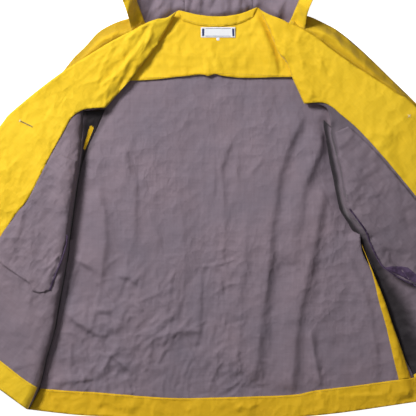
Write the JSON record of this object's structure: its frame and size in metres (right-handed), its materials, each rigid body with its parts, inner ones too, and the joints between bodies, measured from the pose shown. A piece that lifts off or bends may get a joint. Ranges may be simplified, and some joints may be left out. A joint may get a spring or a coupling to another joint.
{
  "type": "hooded jacket",
  "caption": "Open hooded rain jacket lying flat: back panel with yoke facing, two fold-out fronts, two swinging sleeves and a lifting hood.",
  "frame": {"origin": "underside of the back panel, midway between the side seams and 352 mm above the back hem", "axes": "+X to the wearer's left, +Y from the hem to the hood, +Z away from the surface the jacket lies on"},
  "size_m": [1.3015, 1.0443, 0.06],
  "materials": {
    "yellow_cloth": "plain-woven cotton and nylon, dry proofed face",
    "grey_cloth": "mauve-grey reverse side of the same weave",
    "binding": "overlocked seam edge",
    "thread": "polyester sewing thread",
    "label": "woven satin label with blue ends",
    "button": "four-hole button, satin gloss"
  },
  "bodies": {
    "root": {"back_panel": "grey_cloth", "back_yoke_facing": "yellow_cloth", "collar_stand": "yellow_cloth", "neck_label": "label", "size_tab": "label", "back_hem_facing": "yellow_cloth", "right_side_panel": "grey_cloth", "left_side_panel": "grey_cloth", "right_side_strip": "yellow_cloth", "left_side_strip": "yellow_cloth", "right_front_shoulder": "yellow_cloth", "left_front_shoulder": "yellow_cloth"},
    "right_front": {"right_front_panel": "grey_cloth", "right_front_facing": "yellow_cloth", "right_front_hem_facing": "yellow_cloth", "right_pocket_bag": "grey_cloth", "right_pocket_binding": "binding", "buttonhole_stitching": "thread"},
    "left_front": {"left_front_panel": "grey_cloth", "left_front_facing": "yellow_cloth", "left_front_hem_facing": "yellow_cloth", "left_pocket_bag": "grey_cloth", "left_pocket_binding": "binding", "front_buttons": "button", "button_thread": "thread"},
    "right_sleeve": {"right_sleeve_under": "yellow_cloth", "right_sleeve_upper": "yellow_cloth", "right_cuff_hem": "yellow_cloth"},
    "left_sleeve": {"left_sleeve_under": "yellow_cloth", "left_sleeve_upper": "yellow_cloth", "left_cuff_hem": "yellow_cloth"},
    "hood": {"hood_right_side": "grey_cloth", "hood_centre": "grey_cloth", "hood_left_side": "grey_cloth", "hood_brim_facing": "yellow_cloth"}
  },
  "joints": [
    {"name": "right_front_fold", "type": "hinge", "parent": "root", "child": "right_front", "pos_m": [-0.074, 0.36, 0.038], "axis": [0.3423, 0.9396, 0], "range_deg": [0, 178]},
    {"name": "left_front_fold", "type": "hinge", "parent": "root", "child": "left_front", "pos_m": [0.072, 0.364, 0.0295], "axis": [0.3481, -0.9375, 0], "range_deg": [0, 178]},
    {"name": "right_sleeve_swing", "type": "hinge", "parent": "root", "child": "right_sleeve", "pos_m": [-0.3, 0.107, 0.013], "axis": [0, 0, -1], "range_deg": [0, 40]},
    {"name": "left_sleeve_swing", "type": "hinge", "parent": "root", "child": "left_sleeve", "pos_m": [0.301, 0.128, 0.013], "axis": [0, 0, 1], "range_deg": [0, 40]},
    {"name": "hood_lift", "type": "hinge", "parent": "root", "child": "hood", "pos_m": [0, 0.338, 0.046], "axis": [1, 0, 0], "range_deg": [0, 90]}
  ]
}
